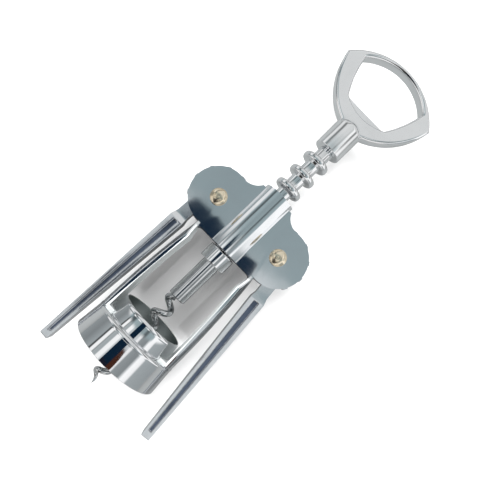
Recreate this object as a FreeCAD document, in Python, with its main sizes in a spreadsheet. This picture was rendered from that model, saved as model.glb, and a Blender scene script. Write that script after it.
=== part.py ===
# Wing corkscrew: two stamped frame shells, a bell, two geared levers, a ringed rack and a screw.
# Millimetres. The origin is the centre of the bell's mouth, +Z runs up the screw to the handle,
# +X points to the right lever and the front faces -Y.
import FreeCAD, Part
import math
import os
import re
import Sketcher
from FreeCAD import Placement, Rotation, Vector

doc = FreeCAD.newDocument("wing_corkscrew")

# ---- Sizes ---------------------------------------------------------------------------------

sizes = [
    ("mouth_radius", 22.1, "bell skirt, outside, at the mouth"),
    ("shoulder_radius", 20.9, "bell skirt, outside, where its shoulder starts"),
    ("shoulder_drop", 2.2, "how far the shoulder starts below the lip"),
    ("shoulder_curve", 3.0, "radius of the rounded shoulder"),
    ("lip_radius", 19.8, "outer edge of the skirt's flat top lip"),
    ("skirt_height", 14.2, "height of the lip above the mouth"),
    ("skirt_wall", 1.2, "sheet of the skirt"),
    ("sleeve_height", 22.4, "top of the neck sleeve"),
    ("sleeve_top_radius", 15.5, "neck sleeve, outside, at its top"),
    ("sleeve_foot_radius", 16.9, "neck sleeve, outside, at its foot"),
    ("sleeve_wall", 0.9, "wall of the neck sleeve"),
    ("seat_drop", 5.2, "face that the bottle's rim stops on, below the skirt's lip"),
    ("seat_radius", 13.0, "hole that the cork comes up through"),
    ("seat_thickness", 1.2, "plate of the bottle seat"),
    ("sheet", 1.2, "sheet of the frame shells"),
    ("leg_foot_radius", 20.8, "leg, outside, where it stands on the skirt"),
    ("leg_top_radius", 17.3, "leg, outside, under the ear"),
    ("leg_bow", 440.0, "radius of the leg's slow curve up to the ear"),
    ("leg_top_level", 66.0, "height of the leg's upper end"),
    ("leg_foot_depth", 10.4, "half depth of a leg at its foot"),
    ("leg_neck_depth", 9.0, "half depth of a leg below the ear"),
    ("leg_neck_level", 58.0, "height where the leg starts to narrow"),
    ("pivot_spacing", 36.0, "between the two lever pivots"),
    ("pivot_level", 79.0, "height of the pivots"),
    ("ear_radius", 13.2, "round ear about a pivot"),
    ("web_bottom", 64.7, "lower edge of the plate between the ears"),
    ("web_top", 96.2, "upper edge of the plate beside the tube"),
    ("sweep_radius", 7.8, "hollow curve from the ear up to the tube"),
    ("sweep_offset", 15.3, "that curve's centre, out from the axis"),
    ("window_corner", 2.4, "corner radius of the window"),
    ("window_half_width", 16.2, "half width of the window at its top"),
    ("tube_radius", 8.0, "raised half tube, outside"),
    ("tube_top", 97.9, "upper end of the tube"),
    ("tube_fold", 1.0, "inside radius of the fold between plate and tube"),
    ("gear_thickness", 6.0, "gear head of a lever"),
    ("side_gap", 0.1, "between the gear head and each shell"),
    ("gear_teeth", 11, "teeth that would go round the whole gear"),
    ("tip_gap", 0.9, "between a tooth's tip and the rack's core"),
    ("root_gap", 0.4, "between the gear's root circle and a ring"),
    ("pitch_gap", 0.38, "between the gear's pitch circle and the rack's core"),
    ("tooth_tip_width", 2.0, "tooth at its tip"),
    ("tooth_root_width", 2.8, "tooth at its root"),
    ("cut_teeth", 9, "teeth that are cut, the arm's side being left plain"),
    ("right_rest_angle", 6.5, "right lever's splay as the tool lies"),
    ("left_rest_angle", 3.1, "left lever's splay as the tool lies"),
    ("mesh_angle", 4.8, "splay at which a tooth stands midway between two rings"),
    ("arm_offset", 4.8, "arm's centre line, out from the pivot"),
    ("arm_start", 19.5, "full depth of the arm starts here, below the pivot"),
    ("arm_end", 95.0, "tip of the arm, below the pivot"),
    ("arm_width", 6.8, "arm at its upper end"),
    ("arm_tip_width", 4.2, "arm at its tip"),
    ("arm_depth", 9.0, "arm from front to back, upper end"),
    ("arm_tip_depth", 6.5, "arm from front to back, at its tip"),
    ("neck_width", 5.6, "neck between gear and arm"),
    ("neck_slope", 3.0, "length of the slope from the neck to the arm"),
    ("recess_width", 2.6, "long recess in the arm's face, upper end"),
    ("recess_tip_width", 1.5, "the same at its lower end"),
    ("recess_depth", 2.2, "how deep the recess goes"),
    ("recess_margin", 3.5, "solid arm past the recess's lower end"),
    ("rivet_radius", 2.0, "rivet's shank"),
    ("rivet_head_radius", 3.8, "rivet's domed head"),
    ("rivet_head_height", 1.9, "height of the dome"),
    ("running_gap", 0.06, "radial clearance of a turning fit"),
    ("ring_radius", 6.4, "rings and collar of the rack"),
    ("ring_core", 3.35, "rack between its rings"),
    ("ring_thickness", 3.5, "ring at half its height"),
    ("ring_bevel", 0.55, "how much a ring narrows towards its rim"),
    ("first_ring", 101.5, "underside of the lowest ring above the tube"),
    ("ring_count", 7, "rings of the rack"),
    ("rings_inside", 4, "of these, rings inside the tube"),
    ("collar_bottom", 57.0, "lower end of the rack"),
    ("rack_top", 126.2, "upper end of the rack"),
    ("spindle_radius", 2.0, "rod through the rack"),
    ("end_gap", 0.1, "end play of the rack between shank and barrel"),
    ("shank_radius", 4.1, "plain shank below the rack"),
    ("shank_bottom", 36.0, "lower end of the shank"),
    ("spindle_grip", 11.0, "length of the rod inside the barrel"),
    ("worm_radius", 4.2, "outside of the worm"),
    ("worm_wire", 1.4, "radius of the worm's wire"),
    ("worm_pitch", 9.0, "one turn of the worm"),
    ("worm_start", -6.6, "where the last full turn ends"),
    ("worm_tip", -16.1, "point of the worm"),
    ("worm_tip_offset", 0.8, "how far the point is from the axis"),
    ("barrel_radius", 6.4, "barrel of the handle"),
    ("barrel_top", 139.0, "where the barrel starts to round off into the ring"),
    ("barrel_blend_top", 142.6, "where it has become as thin as the ring"),
    ("barrel_round", 4.6, "radius of that rounded shoulder"),
    ("barrel_flat_half_width", 5.5, "half width of the ring's foot at the barrel's top"),
    ("handle_depth", 6.4, "handle ring from front to back"),
    ("handle_half_width", 24.8, "handle's corners from the axis"),
    ("handle_corner_level", 162.8, "height of those corners"),
    ("handle_top", 174.6, "top of the handle"),
    ("handle_foot_width", 6.4, "half width of the ring's outline at the barrel"),
    ("handle_foot_level", 140.0, "height where that outline starts"),
    ("handle_side_curve", 1.23, "outer side curve's radius over the handle's half width"),
    ("hole_half_width", 17.1, "upper corners of the handle's hole"),
    ("hole_corner_level", 165.7, "height of those corners"),
    ("hole_top", 172.6, "top of the hole"),
    ("hole_side_radius", 45.0, "side curve of the hole"),
    ("lifter_half_width", 10.9, "half length of the cap lifter's straight edge"),
    ("lifter_edge", 149.4, "height of that edge"),
    ("lifter_root", 146.5, "bottom of the cap lifter's curved root"),
    ("lifter_thickness", 2.2, "plate of the cap lifter"),
    ("handle_bevel", 1.2, "bevel round the handle's outer edge"),
]

# derived sizes: the gears just clear the rack, the rings match the gears' pitch,
# and the bottle's seat hangs below the skirt's lip
gear_tip_radius = "( pivot_spacing / 2 - ring_core - tip_gap )"
gear_root_radius = "( pivot_spacing / 2 - ring_radius - root_gap )"
gear_pitch_radius = "( pivot_spacing / 2 - ring_core - pitch_gap )"
ring_pitch = f"( 2 * pi * {gear_pitch_radius} / gear_teeth )"
seat_level = "( skirt_height - seat_drop )"
seat_top = f"( {seat_level} + seat_thickness )"

sheet = doc.addObject("Spreadsheet::Sheet", "Sizes")
for row, (alias, value, note) in enumerate(sizes, start=1):
    sheet.set(f"A{row}", alias)
    sheet.set(f"B{row}", str(value))
    sheet.set(f"C{row}", note)
    sheet.setAlias(f"B{row}", alias)
doc.recompute()


def size(expression):
    """Value of an expression over the sheet, such as 'pivot_spacing / 2'."""
    return float(sheet.evalExpression(in_sheet(expression)))


def in_sheet(expression):
    """The same expression with every size written as Sizes.name, as bindings need it."""
    names = {alias for alias, _, _ in sizes}
    return re.sub("[a-z_]+", lambda word: ("Sizes." if word[0] in names else "") + word[0], expression)


# ---- Building blocks -----------------------------------------------------------------------

def primitive(kind, name, sizes_of, base=("0", "0", "0"), rotation=None):
    """A Part primitive whose sizes and place are bound to the sheet."""
    made = doc.addObject(kind, name)
    for prop, expression in sizes_of.items():
        made.setExpression(prop, in_sheet(expression))
    if rotation:
        made.Placement.Rotation = rotation
    for axis, expression in zip("xyz", base):
        made.setExpression(f"Placement.Base.{axis}", in_sheet(expression))
    return made


def fuse(name, shapes):
    made = doc.addObject("Part::MultiFuse", name)
    made.Shapes = shapes
    made.Refine = True
    return made


def cut(name, base, tool):
    made = doc.addObject("Part::Cut", name)
    made.Base, made.Tool = base, tool
    made.Refine = True
    return made


def common(name, shapes):
    made = doc.addObject("Part::MultiCommon", name)
    made.Shapes = shapes
    return made


def origin_plane(body, role):
    return next(item for item in body.Origin.OriginFeatures if item.Role == role)


def outline(body, name, plane, corners, arcs=None):
    """A closed sketch through corners given as two expressions each.

    arcs maps a corner's number to (radius, side): the stretch that leaves it is an arc that
    bulges to the left (side 1) or to the right (side -1) of its chord.
    """
    arcs = arcs or {}
    sketch = body.newObject("Sketcher::SketchObject", name)
    sketch.AttachmentSupport = [(origin_plane(body, plane), "")]
    sketch.MapMode = "FlatFace"
    places = [Vector(size(a), size(b), 0) for a, b in corners]
    for number, start in enumerate(places):
        end = places[(number + 1) % len(places)]
        if number in arcs:
            radius, side = arcs[number]
            chord = end - start
            half = chord.Length / 2
            rise = size(radius) - math.sqrt(size(radius) ** 2 - half ** 2)
            left = Vector(-chord.y, chord.x, 0).normalize()
            middle = (start + end) * 0.5 + left * (side * rise)
            ends = (start, end) if side < 0 else (end, start)
            sketch.addGeometry(Part.Arc(ends[0], middle, ends[1]))
        else:
            sketch.addGeometry(Part.LineSegment(start, end))
    for number, (a, b) in enumerate(corners):
        point = 1 if starts_at(sketch.Geometry[number], places[number]) else 2
        pin(sketch, number, point, a, b)
    for number in range(len(corners)):
        after = (number + 1) % len(corners)
        end_point = 2 if starts_at(sketch.Geometry[number], places[number]) else 1
        next_point = 1 if starts_at(sketch.Geometry[after], places[after]) else 2
        sketch.addConstraint(Sketcher.Constraint("Coincident", number, end_point, after, next_point))
    for number, (radius, _) in arcs.items():
        index = sketch.addConstraint(Sketcher.Constraint("Radius", number, size(radius)))
        sketch.setExpression(f"Constraints[{index}]", in_sheet(radius))
    return sketch


def starts_at(curve, place):
    return curve.StartPoint.distanceToPoint(place) < 1e-6


def pin(sketch, number, point, across, up):
    """Hold one point of a sketch at two expressions."""
    for kind, expression, axis in (("DistanceX", across, -2), ("DistanceY", up, -1)):
        value = size(expression)
        if abs(value) < 1e-9:
            sketch.addConstraint(Sketcher.Constraint("PointOnObject", number, point, axis))
        else:
            index = sketch.addConstraint(Sketcher.Constraint(kind, -1, 1, number, point, value))
            sketch.setExpression(f"Constraints[{index}]", in_sheet(expression))


def circle(body, name, plane, centre, radius):
    sketch = body.newObject("Sketcher::SketchObject", name)
    sketch.AttachmentSupport = [(origin_plane(body, plane), "")]
    sketch.MapMode = "FlatFace"
    sketch.addGeometry(Part.Circle(Vector(size(centre[0]), size(centre[1]), 0), Vector(0, 0, 1), size(radius)))
    pin(sketch, 0, 3, *centre)
    index = sketch.addConstraint(Sketcher.Constraint("Radius", 0, size(radius)))
    sketch.setExpression(f"Constraints[{index}]", in_sheet(radius))
    return sketch


def pad(body, name, sketch, length):
    """Pad a sketch by half the length to each side of its plane."""
    made = body.newObject("PartDesign::Pad", name)
    made.Profile = sketch
    made.SideType = "Symmetric"
    made.setExpression("Length", in_sheet(length))
    body.Tip = made
    return made


def pocket(body, name, sketch, length):
    """Cut a sketch by half the length to each side of its plane."""
    made = body.newObject("PartDesign::Pocket", name)
    made.Profile = sketch
    made.SideType = "Symmetric"
    made.setExpression("Length", in_sheet(length))
    body.Tip = made
    return made


def sink(body, name, corners, arcs, thickness, depth):
    """Sink one outline into the front and into the back of a piece of the given thickness."""
    for end, sign in (("front", ""), ("back", "-")):
        sketch = outline(body, f"{name}_{end}_outline", "XZ_Plane", corners, arcs)
        sketch.setExpression("AttachmentOffset.Base.z", in_sheet(f"{sign}( {thickness} ) / 2"))
        made = body.newObject("PartDesign::Pocket", f"{name}_{end}")
        made.Profile = sketch
        made.SideType = "One side"
        made.Reversed = end == "back"
        made.setExpression("Length", in_sheet(depth))
        body.Tip = made


def arc_over(half_width, rise):
    """Radius of the arc over a chord, from half the chord and the arc's rise."""
    return f"( ( {half_width} ) ^ 2 + ( {rise} ) ^ 2 ) / ( 2 * ( {rise} ) )"


def turned(label, corners, arcs=None):
    """A body turned about the Z axis from a half section given as radius and height."""
    body = doc.addObject("PartDesign::Body", label)
    sketch = outline(body, label + "_section", "XZ_Plane", corners, arcs)
    made = body.newObject("PartDesign::Revolution", label + "_turned")
    made.Profile = sketch
    made.ReferenceAxis = (sketch, ["V_Axis"])
    made.Angle = 360
    body.Tip = made
    return body


# ---- Bell ----------------------------------------------------------------------------------

def bell_skirt():
    """Wide outer bell; the neck sleeve's plate sits inside it at the seat level."""
    return turned("bell_skirt", [
        ("mouth_radius - skirt_wall", "0"),
        ("mouth_radius", "0"),
        ("shoulder_radius", "skirt_height - shoulder_drop"),
        ("lip_radius", "skirt_height"),
        ("sleeve_foot_radius + sheet", "skirt_height"),
        ("sleeve_foot_radius + sheet", "skirt_height - skirt_wall"),
        ("lip_radius - skirt_wall", "skirt_height - skirt_wall"),
        ("shoulder_radius - skirt_wall", "skirt_height - shoulder_drop - skirt_wall / 2"),
    ], {2: ("shoulder_curve", -1)})


def neck_sleeve():
    """Narrow ring above the bell with the plate that stops the bottle's rim."""
    plate_radius = "shoulder_radius - skirt_wall"
    return turned("neck_sleeve", [
        ("seat_radius", seat_level),
        (plate_radius, seat_level),
        (plate_radius, seat_top),
        ("sleeve_foot_radius", seat_top),
        ("sleeve_foot_radius", "skirt_height"),
        ("sleeve_top_radius", "sleeve_height"),
        ("sleeve_top_radius - sleeve_wall", "sleeve_height"),
        ("sleeve_foot_radius - sleeve_wall", "skirt_height"),
        ("sleeve_foot_radius - sleeve_wall", seat_top),
        ("seat_radius", seat_top),
    ])


# ---- Frame ---------------------------------------------------------------------------------

def leg_wall():
    """Flared wall that both legs are cut from, with the foot tab inside the skirt."""
    return turned("leg_wall", [
        ("sleeve_foot_radius", seat_top),
        ("sleeve_foot_radius + sheet", seat_top),
        ("sleeve_foot_radius + sheet", "skirt_height"),
        ("leg_foot_radius", "skirt_height"),
        ("leg_top_radius", "leg_top_level"),
        ("leg_top_radius - sheet", "leg_top_level"),
        ("leg_foot_radius - sheet", "skirt_height + sheet"),
        ("sleeve_foot_radius", "skirt_height + sheet"),
    ], {3: ("leg_bow", -1), 5: ("leg_bow", 1)})


def wedge(name, low, high, low_depth, high_depth):
    """Block in front of the mid plane, from one height and depth to another."""
    made = doc.addObject("Part::Wedge", name)
    bounds = {
        "Xmin": "-mouth_radius", "Xmax": "mouth_radius",
        "X2min": "-mouth_radius", "X2max": "mouth_radius",
        "Ymin": low, "Ymax": high,
        "Zmin": "0", "Zmax": low_depth, "Z2min": "0", "Z2max": high_depth,
    }
    for prop, expression in bounds.items():
        made.setExpression(prop, in_sheet(expression))
    made.Placement.Rotation = Rotation(Vector(1, 0, 0), 90)
    return made


def legs():
    """Front halves of both legs: deep at the foot, drawn in under the ears."""
    lower = wedge("leg_depth_block", seat_level, "leg_neck_level",
                  "leg_foot_depth", "leg_neck_depth")
    upper = wedge("leg_shoulder_block", "leg_neck_level", "leg_top_level",
                  "leg_neck_depth", "gear_thickness / 2 + side_gap + sheet")
    return common("leg_pair", [leg_wall(), fuse("leg_blocks", [lower, upper])])


def lying(kind, name, sizes_of, across, front, up):
    """A round primitive lying along Y, which runs from the given depth towards -Y."""
    return primitive(kind, name, sizes_of, (across, front, up), Rotation(Vector(1, 0, 0), 90))


def both_sides(name, across, radius, front, up, length):
    """The same disc on the left and on the right."""
    return fuse(name, [
        lying("Part::Cylinder", f"{name}_{side}", {"Radius": radius, "Height": length},
              sign + across, front, up)
        for side, sign in (("left", "-"), ("right", ""))
    ])


def window_block():
    """Block that opens the window, with its two upper corners rounded."""
    block = primitive("Part::Box", "window_block", {
        "Length": "2 * window_half_width", "Width": "4 * gear_thickness", "Height": "web_bottom",
    }, ("-window_half_width", "-2 * gear_thickness", "0"))
    doc.recompute()
    rounded = doc.addObject("Part::Fillet", "window_opening")
    rounded.Base = block
    top = size("web_bottom")
    corner = size("window_corner")
    rounded.Edges = [
        (number, corner, corner) for number, edge in enumerate(block.Shape.Edges, start=1)
        if edge.BoundBox.YLength > corner and edge.BoundBox.ZMin > top - corner
    ]
    return rounded


def ear_plate():
    """Flat plate with the two ears, swept up to the tube and open over the window."""
    back = "-gear_thickness / 2 - side_gap"
    front = f"{back} - sheet"
    reach = "sweep_radius / ( ear_radius + sweep_radius )"
    tangent = f"( sweep_offset + ( pivot_spacing / 2 - sweep_offset ) * {reach} )"
    web = primitive("Part::Box", "web", {
        "Length": f"2 * {tangent}", "Width": "sheet", "Height": "web_top - web_bottom",
    }, (f"-{tangent}", front, "web_bottom"))
    knee = primitive("Part::Box", "knee", {
        "Length": "2 * leg_top_radius - sheet", "Width": "sheet", "Height": "3 * window_corner",
    }, ("-leg_top_radius + sheet / 2", front, "web_bottom - 1.3 * window_corner"))
    rise = "( ear_radius + sweep_radius ) ^ 2 - ( pivot_spacing / 2 - sweep_offset ) ^ 2"
    sweeps = both_sides("sweep", "sweep_offset", "sweep_radius", back,
                        f"pivot_level + sqrt( {rise} )", "sheet")
    ears = both_sides("ear", "pivot_spacing / 2", "ear_radius", back, "pivot_level", "sheet")
    swept = cut("swept_web", web, sweeps)
    return cut("ear_plate", fuse("web_and_ears", [swept, knee, ears]), window_block())


def front_frame_shell():
    """Front stamping: ear plate, raised half tube and the front halves of the legs."""
    plate_back = "( gear_thickness / 2 + side_gap )"
    tube = primitive("Part::Cylinder", "tube_wall", {
        "Radius": "tube_radius", "Height": "tube_top - web_bottom",
    }, ("0", "0", "web_bottom"))
    behind = primitive("Part::Box", "behind_plate", {
        "Length": "4 * tube_radius", "Width": "4 * tube_radius", "Height": "2 * tube_top",
    }, ("-2 * tube_radius", f"-{plate_back}", "0"))
    pressed = fuse("shell_body", [ear_plate(), cut("half_tube", tube, behind), legs()])
    doc.recompute()
    body = doc.addObject("Part::Fillet", "tube_folds")
    body.Base = pressed
    plate_front = -size(f"{plate_back} + sheet")
    fold = size("tube_fold")
    body.Edges = [
        (number, fold, fold) for number, edge in enumerate(pressed.Shape.Edges, start=1)
        if edge.BoundBox.ZLength > size("tube_radius")
        and abs(edge.CenterOfMass.y - plate_front) < 1e-3
        and abs(edge.CenterOfMass.x) < size("tube_radius")
    ]
    bore = primitive("Part::Cylinder", "tube_bore", {
        "Radius": "tube_radius - sheet", "Height": "tube_top",
    }, ("0", "0", "web_bottom - sheet"))
    wells = both_sides("gear_well", "pivot_spacing / 2", f"{gear_tip_radius} + sheet / 2", "0",
                       "pivot_level", plate_back)
    holes = both_sides("rivet_hole", "pivot_spacing / 2", "rivet_radius", "0", "pivot_level",
                       "2 * gear_thickness")
    return cut("front_frame_shell", body, fuse("shell_openings", [bore, wells, holes]))


def back_frame_shell(front):
    """The same stamping, mirrored to the back."""
    made = doc.addObject("Part::Mirroring", "back_frame_shell")
    made.Source = front
    made.Normal = Vector(0, 1, 0)
    return made


# ---- Rivets --------------------------------------------------------------------------------

def pivot_rivet(label, side):
    """Rivet along Y with a dome outside each shell."""
    face = "( gear_thickness / 2 + side_gap + sheet )"
    ball = arc_over("rivet_head_radius", "rivet_head_height")
    rivet = turned(label, [
        ("0", f"-{face} - rivet_head_height"),
        ("rivet_head_radius", f"-{face}"),
        ("rivet_radius", f"-{face}"),
        ("rivet_radius", face),
        ("rivet_head_radius", face),
        ("0", f"{face} + rivet_head_height"),
    ], {0: (ball, -1), 4: (ball, -1)})
    rivet.Placement.Rotation = Rotation(Vector(1, 0, 0), 90)
    rivet.setExpression("Placement.Base.x", in_sheet(f"{side}pivot_spacing / 2"))
    rivet.setExpression("Placement.Base.z", in_sheet("pivot_level"))
    return rivet


# ---- Levers --------------------------------------------------------------------------------

def last_tooth_direction():
    """Direction of the last tooth on the arm's inner side, in degrees from +X."""
    gap = size(f"first_ring - 2 * {ring_pitch} - ( {ring_pitch} - ring_thickness ) / 2 - pivot_level")
    at_rack = 180 - math.degrees(gap / size(gear_pitch_radius))
    return at_rack - size("mesh_angle") + 2 * size("360 / gear_teeth")


def gear(body, label):
    """Plain disc with the teeth that the rack can reach."""
    disc = circle(body, label + "_disc_circle", "XZ_Plane", ("0", "0"), gear_root_radius)
    pad(body, label + "_disc", disc, "gear_thickness")
    tooth = outline(body, label + "_tooth_outline", "XZ_Plane", [
        (f"{gear_root_radius} - tooth_root_width / 2", "-tooth_root_width / 2"),
        (gear_root_radius, "-tooth_root_width / 2"),
        (gear_tip_radius, "-tooth_tip_width / 2"),
        (gear_tip_radius, "tooth_tip_width / 2"),
        (gear_root_radius, "tooth_root_width / 2"),
        (f"{gear_root_radius} - tooth_root_width / 2", "tooth_root_width / 2"),
    ])
    turn = Rotation(Vector(0, 0, 1), last_tooth_direction())
    tooth.AttachmentOffset = Placement(Vector(0, 0, 0), turn)
    one_tooth = pad(body, label + "_tooth", tooth, "gear_thickness")
    ring = body.newObject("PartDesign::PolarPattern", label + "_teeth")
    ring.Originals = [one_tooth]
    ring.Axis = (origin_plane(body, "Y_Axis"), [""])
    ring.Mode = "Spacing"
    ring.setExpression("Offset", in_sheet("360 / gear_teeth"))
    ring.setExpression("Occurrences", in_sheet("cut_teeth"))
    body.Tip = ring


def arm(body, label):
    """Neck, deeper arm with sloped shoulders and the long recess in both faces."""
    neck = outline(body, label + "_neck_outline", "XZ_Plane", [
        ("arm_offset - neck_width / 2", "-arm_start + neck_slope / 2"),
        ("arm_offset + neck_width / 2", "-arm_start + neck_slope / 2"),
        ("arm_offset + neck_width / 2", "0"),
        ("arm_offset - neck_width / 2", "0"),
    ])
    pad(body, label + "_neck", neck, "gear_thickness")
    shaft = outline(body, label + "_arm_outline", "XZ_Plane", [
        ("arm_offset - arm_tip_width / 2", "-arm_end"),
        ("arm_offset + arm_tip_width / 2", "-arm_end"),
        ("arm_offset + arm_width / 2", "-arm_start"),
        ("arm_offset + neck_width / 2", "-arm_start + neck_slope"),
        ("arm_offset - neck_width / 2", "-arm_start + neck_slope"),
        ("arm_offset - arm_width / 2", "-arm_start"),
    ])
    pad(body, label + "_arm", shaft, "arm_depth")
    for end, sign in (("front", "-"), ("back", "")):
        slope = outline(body, f"{label}_{end}_slope_outline", "YZ_Plane", [
            (f"{sign}arm_tip_depth / 2", "-arm_end"),
            (f"{sign}arm_depth / 2", "-arm_start"),
            (f"{sign}gear_thickness / 2", "-arm_start + neck_slope"),
            (f"{sign}gear_thickness / 2", "0"),
            (f"{sign}arm_depth", "0"),
            (f"{sign}arm_depth", "-arm_end"),
        ])
        pocket(body, f"{label}_{end}_slope", slope, "4 * pivot_spacing")
    sink(body, label + "_recess", [
        ("arm_offset - recess_tip_width / 2", "-arm_end + recess_margin"),
        ("arm_offset + recess_tip_width / 2", "-arm_end + recess_margin"),
        ("arm_offset + recess_width / 2", "-arm_start - neck_slope / 5"),
        ("arm_offset - recess_width / 2", "-arm_start - neck_slope / 5"),
    ], {}, "arm_depth", "recess_depth")


def lever(label, side, rest_angle):
    """Geared lever, drawn hanging straight down from its pivot with its outer side to +X."""
    body = doc.addObject("PartDesign::Body", label)
    gear(body, label)
    arm(body, label)
    bore = circle(body, label + "_bore_circle", "XZ_Plane", ("0", "0"),
                  "rivet_radius + running_gap")
    pocket(body, label + "_bore", bore, "2 * gear_thickness")
    facing = Rotation(Vector(0, 0, 1), 0 if side > 0 else 180)
    splay = Rotation(Vector(0, 1, 0), -size(rest_angle))
    body.Placement.Rotation = facing * splay
    body.setExpression("Placement.Base.x", in_sheet(f"{side} * pivot_spacing / 2"))
    body.setExpression("Placement.Base.z", in_sheet("pivot_level"))
    return body


# ---- Rack and screw ------------------------------------------------------------------------

def ringed_rack():
    """Sleeve with a collar below and evenly spaced rings for the gears to work in."""
    body = turned("ringed_rack", [
        ("spindle_radius", "collar_bottom"),
        ("ring_radius", "collar_bottom"),
        ("ring_radius", "collar_bottom + 2 * ring_thickness"),
        ("ring_core", "collar_bottom + 2 * ring_thickness + ring_bevel"),
        ("ring_core", "rack_top"),
        ("spindle_radius", "rack_top"),
    ])
    low = f"first_ring - rings_inside * {ring_pitch}"
    section = outline(body, "ring_section", "XZ_Plane", [
        ("spindle_radius", low),
        ("ring_core", low),
        ("ring_radius", f"{low} + ring_bevel"),
        ("ring_radius", f"{low} + ring_thickness - ring_bevel"),
        ("ring_core", f"{low} + ring_thickness"),
        ("spindle_radius", f"{low} + ring_thickness"),
    ])
    ring = body.newObject("PartDesign::Revolution", "one_ring")
    ring.Profile = section
    ring.ReferenceAxis = (section, ["V_Axis"])
    ring.Angle = 360
    body.Tip = ring
    rings = body.newObject("PartDesign::LinearPattern", "rings")
    rings.Originals = [ring]
    rings.Direction = (origin_plane(body, "Z_Axis"), [""])
    rings.Mode = "Spacing"
    rings.setExpression("Offset", in_sheet(ring_pitch))
    rings.setExpression("Occurrences", in_sheet("ring_count"))
    body.Tip = rings
    return body


def spindle():
    """Plain shank under the rack and the rod that goes up through it into the handle."""
    return turned("spindle", [
        ("0", "shank_bottom"),
        ("shank_radius", "shank_bottom"),
        ("shank_radius", "collar_bottom - end_gap"),
        ("spindle_radius - running_gap", "collar_bottom - end_gap"),
        ("spindle_radius - running_gap", "rack_top + end_gap"),
        ("spindle_radius", "rack_top + end_gap"),
        ("spindle_radius", "rack_top + end_gap + spindle_grip"),
        ("0", "rack_top + end_gap + spindle_grip"),
    ])


def point_path(share):
    """Centre of the wire along the drawn-out last turn, from its start (0) to the point (1)."""
    swing = -2 * math.pi * share
    coil = size("worm_radius - worm_wire")
    out = coil + (size("worm_tip_offset") - coil) * share
    drop = 0.75 * share + 0.25 * share ** 3
    up = size("worm_start") + size("worm_tip - worm_start") * drop
    return Vector(out * math.cos(swing), out * math.sin(swing), up)


def worm():
    """Open right-handed coil of round wire whose last turn runs out into a point."""
    path = doc.addObject("Part::Helix", "worm_path")
    for prop, expression in (
        ("Pitch", "worm_pitch"),
        ("Radius", "worm_radius - worm_wire"),
        ("Height", "shank_bottom - worm_start + 2 * worm_wire"),
        ("Placement.Base.z", "worm_start"),
    ):
        path.setExpression(prop, in_sheet(expression))
    climb = math.degrees(math.atan(size("worm_pitch / ( worm_radius - worm_wire )") / (2 * math.pi)))
    wire = primitive("Part::Circle", "worm_wire_circle", {"Radius": "worm_wire"},
                     ("worm_radius - worm_wire", "0", "worm_start"),
                     Rotation(Vector(1, 0, 0), climb - 90))
    coil = doc.addObject("Part::Sweep", "worm_coil")
    coil.Sections = [wire]
    coil.Spine = (path, [])
    coil.Solid = True
    coil.Frenet = True
    sections = []
    steps = 10
    for step in range(steps + 1):
        share = step / steps
        ahead = point_path(share + 0.01) - point_path(share - 0.01)
        ring = doc.addObject("Part::Circle", f"point_section_{step}")
        ring.setExpression("Radius", in_sheet(f"worm_wire * ( 1 - 0.93 * {share ** 3} )"))
        ring.Placement = Placement(point_path(share), Rotation(Vector(0, 0, 1), ahead))
        sections.append(ring)
    point = doc.addObject("Part::Loft", "worm_point")
    point.Sections = sections
    point.Solid = True
    joint = primitive("Part::Sphere", "worm_joint", {"Radius": "worm_wire"},
                      ("worm_radius - worm_wire", "0", "worm_start"))
    whole = fuse("worm_wire_solid", [coil, joint, point])
    above = primitive("Part::Box", "above_shank_bottom", {
        "Length": "4 * worm_radius", "Width": "4 * worm_radius", "Height": "4 * worm_radius",
    }, ("-2 * worm_radius", "-2 * worm_radius", "shank_bottom"))
    return cut("worm", whole, above)


# ---- Handle --------------------------------------------------------------------------------

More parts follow.
